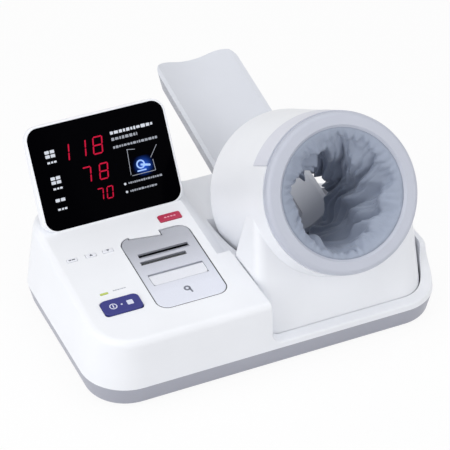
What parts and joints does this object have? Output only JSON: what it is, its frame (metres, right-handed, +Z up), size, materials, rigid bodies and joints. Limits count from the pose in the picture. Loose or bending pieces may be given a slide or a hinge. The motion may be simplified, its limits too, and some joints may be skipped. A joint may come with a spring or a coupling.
{
  "type": "arm-in blood pressure monitor",
  "caption": "Table-top blood pressure monitor with a slanted arm tunnel, a long concave armrest, a lit display slab, buttons and a receipt printer in a wide base.",
  "frame": {"origin": "centre of the whole object's footprint box, on the table surface under the feet", "axes": "+Z up; +Y from the seated user towards the armrest's tip; +X to the user's right, where the arm unit stands"},
  "size_m": [0.461, 0.5058, 0.274],
  "materials": {
    "white_shell": "satin moulded white",
    "grey_band": "satin moulded grey",
    "ring_grey": "satin moulded blue-grey",
    "rest_grey": "satin moulded pale grey",
    "cloth": "woven nylon, gathered",
    "rubber_grey": "matte",
    "bladder": "matte",
    "inner_plastic": "matte moulded",
    "steel": "brushed",
    "screw_steel": "zinc plated",
    "board_green": "solder mask",
    "black_plastic": "matte moulded",
    "lens_black": "polished smoked panel",
    "digit_red": "lit segments",
    "guide_blue": "lit pictogram",
    "led_green": "lit",
    "start_blue": "satin moulded",
    "stop_red": "satin moulded",
    "key_grey": "satin moulded",
    "silver_cover": "satin silver paint",
    "flap_grey": "satin moulded",
    "paper": "uncoated",
    "gear_white": "moulded acetal",
    "supply_metal": "plain"
  },
  "bodies": {
    "base": {"base_tray": "grey_band", "upper_housing": "white_shell", "rubber_feet": "rubber_grey", "tray_screws": "screw_steel", "main_board": "board_green", "power_supply": "supply_metal", "power_inlet": "black_plastic", "power_switch_body": "black_plastic", "speaker": "black_plastic", "display_bezel": "white_shell", "display_back": "white_shell", "display_lens": "lens_black", "display_board": "board_green", "digit_modules": "digit_red", "guide_light": "guide_blue", "status_led": "led_green", "panel_board": "board_green", "tact_switches": "black_plastic", "cover_hinge_pin": "steel", "printer_frame": "black_plastic", "thermal_head": "steel", "printer_motor": "steel", "tilt_bracket_left": "steel", "tilt_bracket_right": "steel", "tilt_axle": "steel", "friction_rings": "rubber_grey"},
    "arm_unit": {"tilt_bushes": "gear_white", "tilt_frame": "steel", "drum_cover": "white_shell", "pedestal_cover": "white_shell", "front_ring": "ring_grey", "rear_ring": "ring_grey", "tunnel_tube": "inner_plastic", "cuff_curler": "inner_plastic", "air_bladder": "bladder", "cloth_sleeve": "cloth", "winder_bracket": "steel", "winding_motor": "steel", "air_pump": "black_plastic", "exhaust_valve": "black_plastic", "air_hose": "rubber_grey", "arm_rest": "rest_grey", "arm_rest_base": "grey_band"},
    "winding_spool": {"winding_spool": "inner_plastic", "spool_gear": "gear_white"},
    "winding_pinion": {"winding_pinion": "gear_white"},
    "elbow_button": {"elbow_button": "ring_grey"},
    "start_stop_button": {"start_stop_button": "start_blue"},
    "emergency_button": {"emergency_button": "stop_red"},
    "set_key": {"set_key": "key_grey"},
    "up_key": {"up_key": "key_grey"},
    "down_key": {"down_key": "key_grey"},
    "printer_cover": {"printer_cover": "silver_cover"},
    "cover_latch": {"cover_latch": "flap_grey"},
    "platen": {"platen_roller": "rubber_grey", "platen_gear": "gear_white"},
    "idler_gear": {"idler_gear": "gear_white"},
    "motor_pinion": {"motor_pinion": "gear_white"},
    "paper_roll": {"paper_roll": "paper"},
    "power_rocker": {"power_rocker": "black_plastic"}
  },
  "joints": [
    {"name": "arm_tilt", "type": "hinge", "parent": "base", "child": "arm_unit", "pos_m": [0.10365, -0.16359, 0.036], "axis": [-1, 0, 0], "range_deg": [-4, 4]},
    {"name": "start_stop_press", "type": "slide", "parent": "base", "child": "start_stop_button", "axis": [0, 0.0732, -0.9973], "range_m": [0, 0.002], "stiffness_N_per_m": 500, "springref_m": -0.003},
    {"name": "emergency_press", "type": "slide", "parent": "base", "child": "emergency_button", "axis": [0, 0.0732, -0.9973], "range_m": [0, 0.002], "stiffness_N_per_m": 500, "springref_m": -0.003},
    {"name": "set_press", "type": "slide", "parent": "base", "child": "set_key", "axis": [0, 0.0732, -0.9973], "range_m": [0, 0.0008], "stiffness_N_per_m": 500, "springref_m": -0.002},
    {"name": "up_press", "type": "slide", "parent": "base", "child": "up_key", "axis": [0, 0.0732, -0.9973], "range_m": [0, 0.0008], "stiffness_N_per_m": 500, "springref_m": -0.002},
    {"name": "down_press", "type": "slide", "parent": "base", "child": "down_key", "axis": [0, 0.0732, -0.9973], "range_m": [0, 0.0008], "stiffness_N_per_m": 500, "springref_m": -0.002},
    {"name": "elbow_press", "type": "slide", "parent": "arm_unit", "child": "elbow_button", "axis": [0, 0.2045, -0.9789], "range_m": [0, 0.003], "stiffness_N_per_m": 400, "springref_m": -0.004},
    {"name": "printer_cover_hinge", "type": "hinge", "parent": "base", "child": "printer_cover", "pos_m": [-0.0877, -0.08373, 0.10276], "axis": [-1, 0, 0], "range_deg": [0, 85]},
    {"name": "cover_latch_flap", "type": "hinge", "parent": "printer_cover", "child": "cover_latch", "pos_m": [-0.0877, -0.14436, 0.09831], "axis": [-1, 0, 0], "range_deg": [0, 25], "stiffness_Nm_per_rad": 0.01, "springref_deg": -28.65},
    {"name": "paper_roll_spin", "type": "hinge", "parent": "base", "child": "paper_roll", "pos_m": [-0.0877, -0.14985, 0.06783], "axis": [1, 0, 0], "continuous": true},
    {"name": "platen_spin", "type": "hinge", "parent": "base", "child": "platen", "pos_m": [-0.0877, -0.11156, 0.0927], "axis": [1, 0, 0], "continuous": true},
    {"name": "idler_spin", "type": "hinge", "parent": "base", "child": "idler_gear", "pos_m": [-0.13455, -0.10551, 0.07532], "axis": [1, 0, 0], "continuous": true},
    {"name": "motor_spin", "type": "hinge", "parent": "base", "child": "motor_pinion", "pos_m": [-0.13455, -0.11941, 0.06588], "axis": [1, 0, 0], "continuous": true},
    {"name": "spool_spin", "type": "hinge", "parent": "arm_unit", "child": "winding_spool", "pos_m": [0.10365, -0.19674, 0.07942], "axis": [0, 0.8373, -0.5467], "range_deg": [0, 300]},
    {"name": "winding_motor_spin", "type": "hinge", "parent": "arm_unit", "child": "winding_pinion", "pos_m": [0.11645, -0.1599, 0.05536], "axis": [0, 0.8373, -0.5467], "range_deg": [-520, 20]},
    {"name": "power_rock", "type": "hinge", "parent": "base", "child": "power_rocker", "pos_m": [-0.14, 0.03642, 0.06], "axis": [1, 0, 0], "range_deg": [0, 15]}
  ],
  "couplings": [
    {"joint": "platen_spin", "follows": "paper_roll_spin", "ratio": 4},
    {"joint": "idler_spin", "follows": "paper_roll_spin", "ratio": -2.1333},
    {"joint": "motor_spin", "follows": "paper_roll_spin", "ratio": 5.3333},
    {"joint": "winding_motor_spin", "follows": "spool_spin", "ratio": -1.6667}
  ]
}
